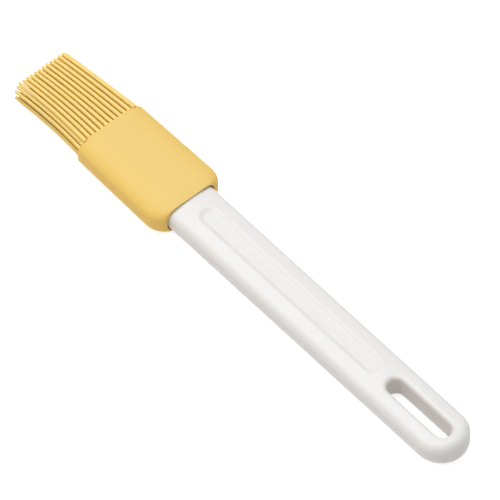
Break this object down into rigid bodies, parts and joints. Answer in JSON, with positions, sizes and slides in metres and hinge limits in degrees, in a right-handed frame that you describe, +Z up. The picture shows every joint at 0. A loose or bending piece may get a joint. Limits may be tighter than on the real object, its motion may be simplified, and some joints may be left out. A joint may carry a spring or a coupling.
{
  "type": "pastry brush",
  "caption": "Kitchen brush with a flat rounded plastic handle, a long hanging slot, and a pull-off silicone head of fine bending bristles.",
  "frame": {"origin": "centre of the brush's footprint, on the plane that the sleeve's flat underside lies on", "axes": "+X along the handle towards the hanging end, bristles towards -X, +Y across the width, +Z up out of the upper broad face"},
  "size_m": [0.2188, 0.0304, 0.013],
  "materials": {
    "handle_plastic": "satin injection-moulded polypropylene",
    "silicone": "matte moulded food-grade silicone"
  },
  "bodies": {
    "handle": {"handle": "handle_plastic"},
    "head": {"silicone_sleeve": "silicone"},
    "bristle_row_1": {"bristle_row_1": "silicone"},
    "bristle_row_2": {"bristle_row_2": "silicone"},
    "bristle_row_3": {"bristle_row_3": "silicone"},
    "bristle_row_4": {"bristle_row_4": "silicone"},
    "bristle_row_5": {"bristle_row_5": "silicone"},
    "bristle_row_6": {"bristle_row_6": "silicone"},
    "bristle_row_7": {"bristle_row_7": "silicone"}
  },
  "joints": [
    {"name": "head_pull", "type": "slide", "parent": "handle", "child": "head", "axis": [-1, 0, 0], "range_m": [0, 0.045]},
    {"name": "bristle_row_1_bend", "type": "hinge", "parent": "head", "child": "bristle_row_1", "pos_m": [-0.07523, 0, 0.01202], "axis": [0, 1, 0], "range_deg": [-35, 35], "stiffness_Nm_per_rad": 0.012},
    {"name": "bristle_row_2_bend", "type": "hinge", "parent": "head", "child": "bristle_row_2", "pos_m": [-0.07523, 0, 0.01018], "axis": [0, 1, 0], "range_deg": [-35, 35], "stiffness_Nm_per_rad": 0.012},
    {"name": "bristle_row_3_bend", "type": "hinge", "parent": "head", "child": "bristle_row_3", "pos_m": [-0.07523, 0, 0.00834], "axis": [0, 1, 0], "range_deg": [-35, 35], "stiffness_Nm_per_rad": 0.012},
    {"name": "bristle_row_4_bend", "type": "hinge", "parent": "head", "child": "bristle_row_4", "pos_m": [-0.07523, 0, 0.0065], "axis": [0, 1, 0], "range_deg": [-35, 35], "stiffness_Nm_per_rad": 0.012},
    {"name": "bristle_row_5_bend", "type": "hinge", "parent": "head", "child": "bristle_row_5", "pos_m": [-0.07523, 0, 0.00466], "axis": [0, 1, 0], "range_deg": [-35, 35], "stiffness_Nm_per_rad": 0.012},
    {"name": "bristle_row_6_bend", "type": "hinge", "parent": "head", "child": "bristle_row_6", "pos_m": [-0.07523, 0, 0.00282], "axis": [0, 1, 0], "range_deg": [-35, 35], "stiffness_Nm_per_rad": 0.012},
    {"name": "bristle_row_7_bend", "type": "hinge", "parent": "head", "child": "bristle_row_7", "pos_m": [-0.07523, 0, 0.00097], "axis": [0, 1, 0], "range_deg": [-35, 35], "stiffness_Nm_per_rad": 0.012}
  ],
  "couplings": [
    {"joint": "bristle_row_1_bend", "follows": "bristle_row_4_bend", "ratio": 1},
    {"joint": "bristle_row_2_bend", "follows": "bristle_row_4_bend", "ratio": 1},
    {"joint": "bristle_row_3_bend", "follows": "bristle_row_4_bend", "ratio": 1},
    {"joint": "bristle_row_5_bend", "follows": "bristle_row_4_bend", "ratio": 1},
    {"joint": "bristle_row_6_bend", "follows": "bristle_row_4_bend", "ratio": 1},
    {"joint": "bristle_row_7_bend", "follows": "bristle_row_4_bend", "ratio": 1}
  ]
}
